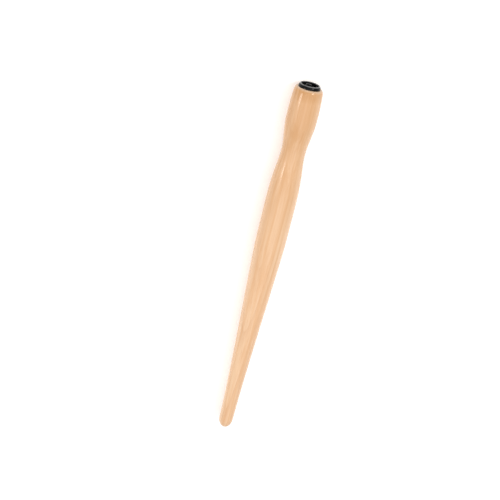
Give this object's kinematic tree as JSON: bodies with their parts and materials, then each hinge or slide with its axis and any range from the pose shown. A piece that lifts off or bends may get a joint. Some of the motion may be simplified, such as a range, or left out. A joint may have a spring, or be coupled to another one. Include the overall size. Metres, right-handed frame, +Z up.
{
  "type": "dip pen holder",
  "caption": "Turned wooden handle with a swell, a finger waist and a long taper. The rimmed metal socket in its thick end grips a dip-pen nib with sprung tongues.",
  "frame": {"origin": "centre of the nib socket's mouth, on the pen's axis", "axes": "+X along the pen's axis and out of the socket's mouth, the handle runs to -X; +Z up with the pen lying down"},
  "size_m": [0.1707, 0.0134, 0.0134],
  "materials": {
    "lacquered_wood": "pale close-grained hardwood under clear gloss lacquer",
    "black_socket": "gloss black japanned steel",
    "black_spring": "satin black spring steel"
  },
  "bodies": {
    "handle": {"holder": "lacquered_wood", "ferrule_sleeve": "black_socket", "clip_base": "black_spring"},
    "tongue_1": {"tongue_1": "black_spring"},
    "tongue_2": {"tongue_2": "black_spring"},
    "tongue_3": {"tongue_3": "black_spring"},
    "tongue_4": {"tongue_4": "black_spring"}
  },
  "joints": [
    {"name": "tongue_1_flex", "type": "hinge", "parent": "handle", "child": "tongue_1", "pos_m": [-0.01294, 0, 0.0029], "axis": [0, 1, 0], "range_deg": [0, 2.5], "stiffness_Nm_per_rad": 1},
    {"name": "tongue_2_flex", "type": "hinge", "parent": "handle", "child": "tongue_2", "pos_m": [-0.01294, -0.0029, 0], "axis": [0, 0, 1], "range_deg": [0, 2.5], "stiffness_Nm_per_rad": 1},
    {"name": "tongue_3_flex", "type": "hinge", "parent": "handle", "child": "tongue_3", "pos_m": [-0.01294, 0, -0.0029], "axis": [0, -1, 0], "range_deg": [0, 2.5], "stiffness_Nm_per_rad": 1},
    {"name": "tongue_4_flex", "type": "hinge", "parent": "handle", "child": "tongue_4", "pos_m": [-0.01294, 0.0029, 0], "axis": [0, 0, -1], "range_deg": [0, 2.5], "stiffness_Nm_per_rad": 1}
  ]
}
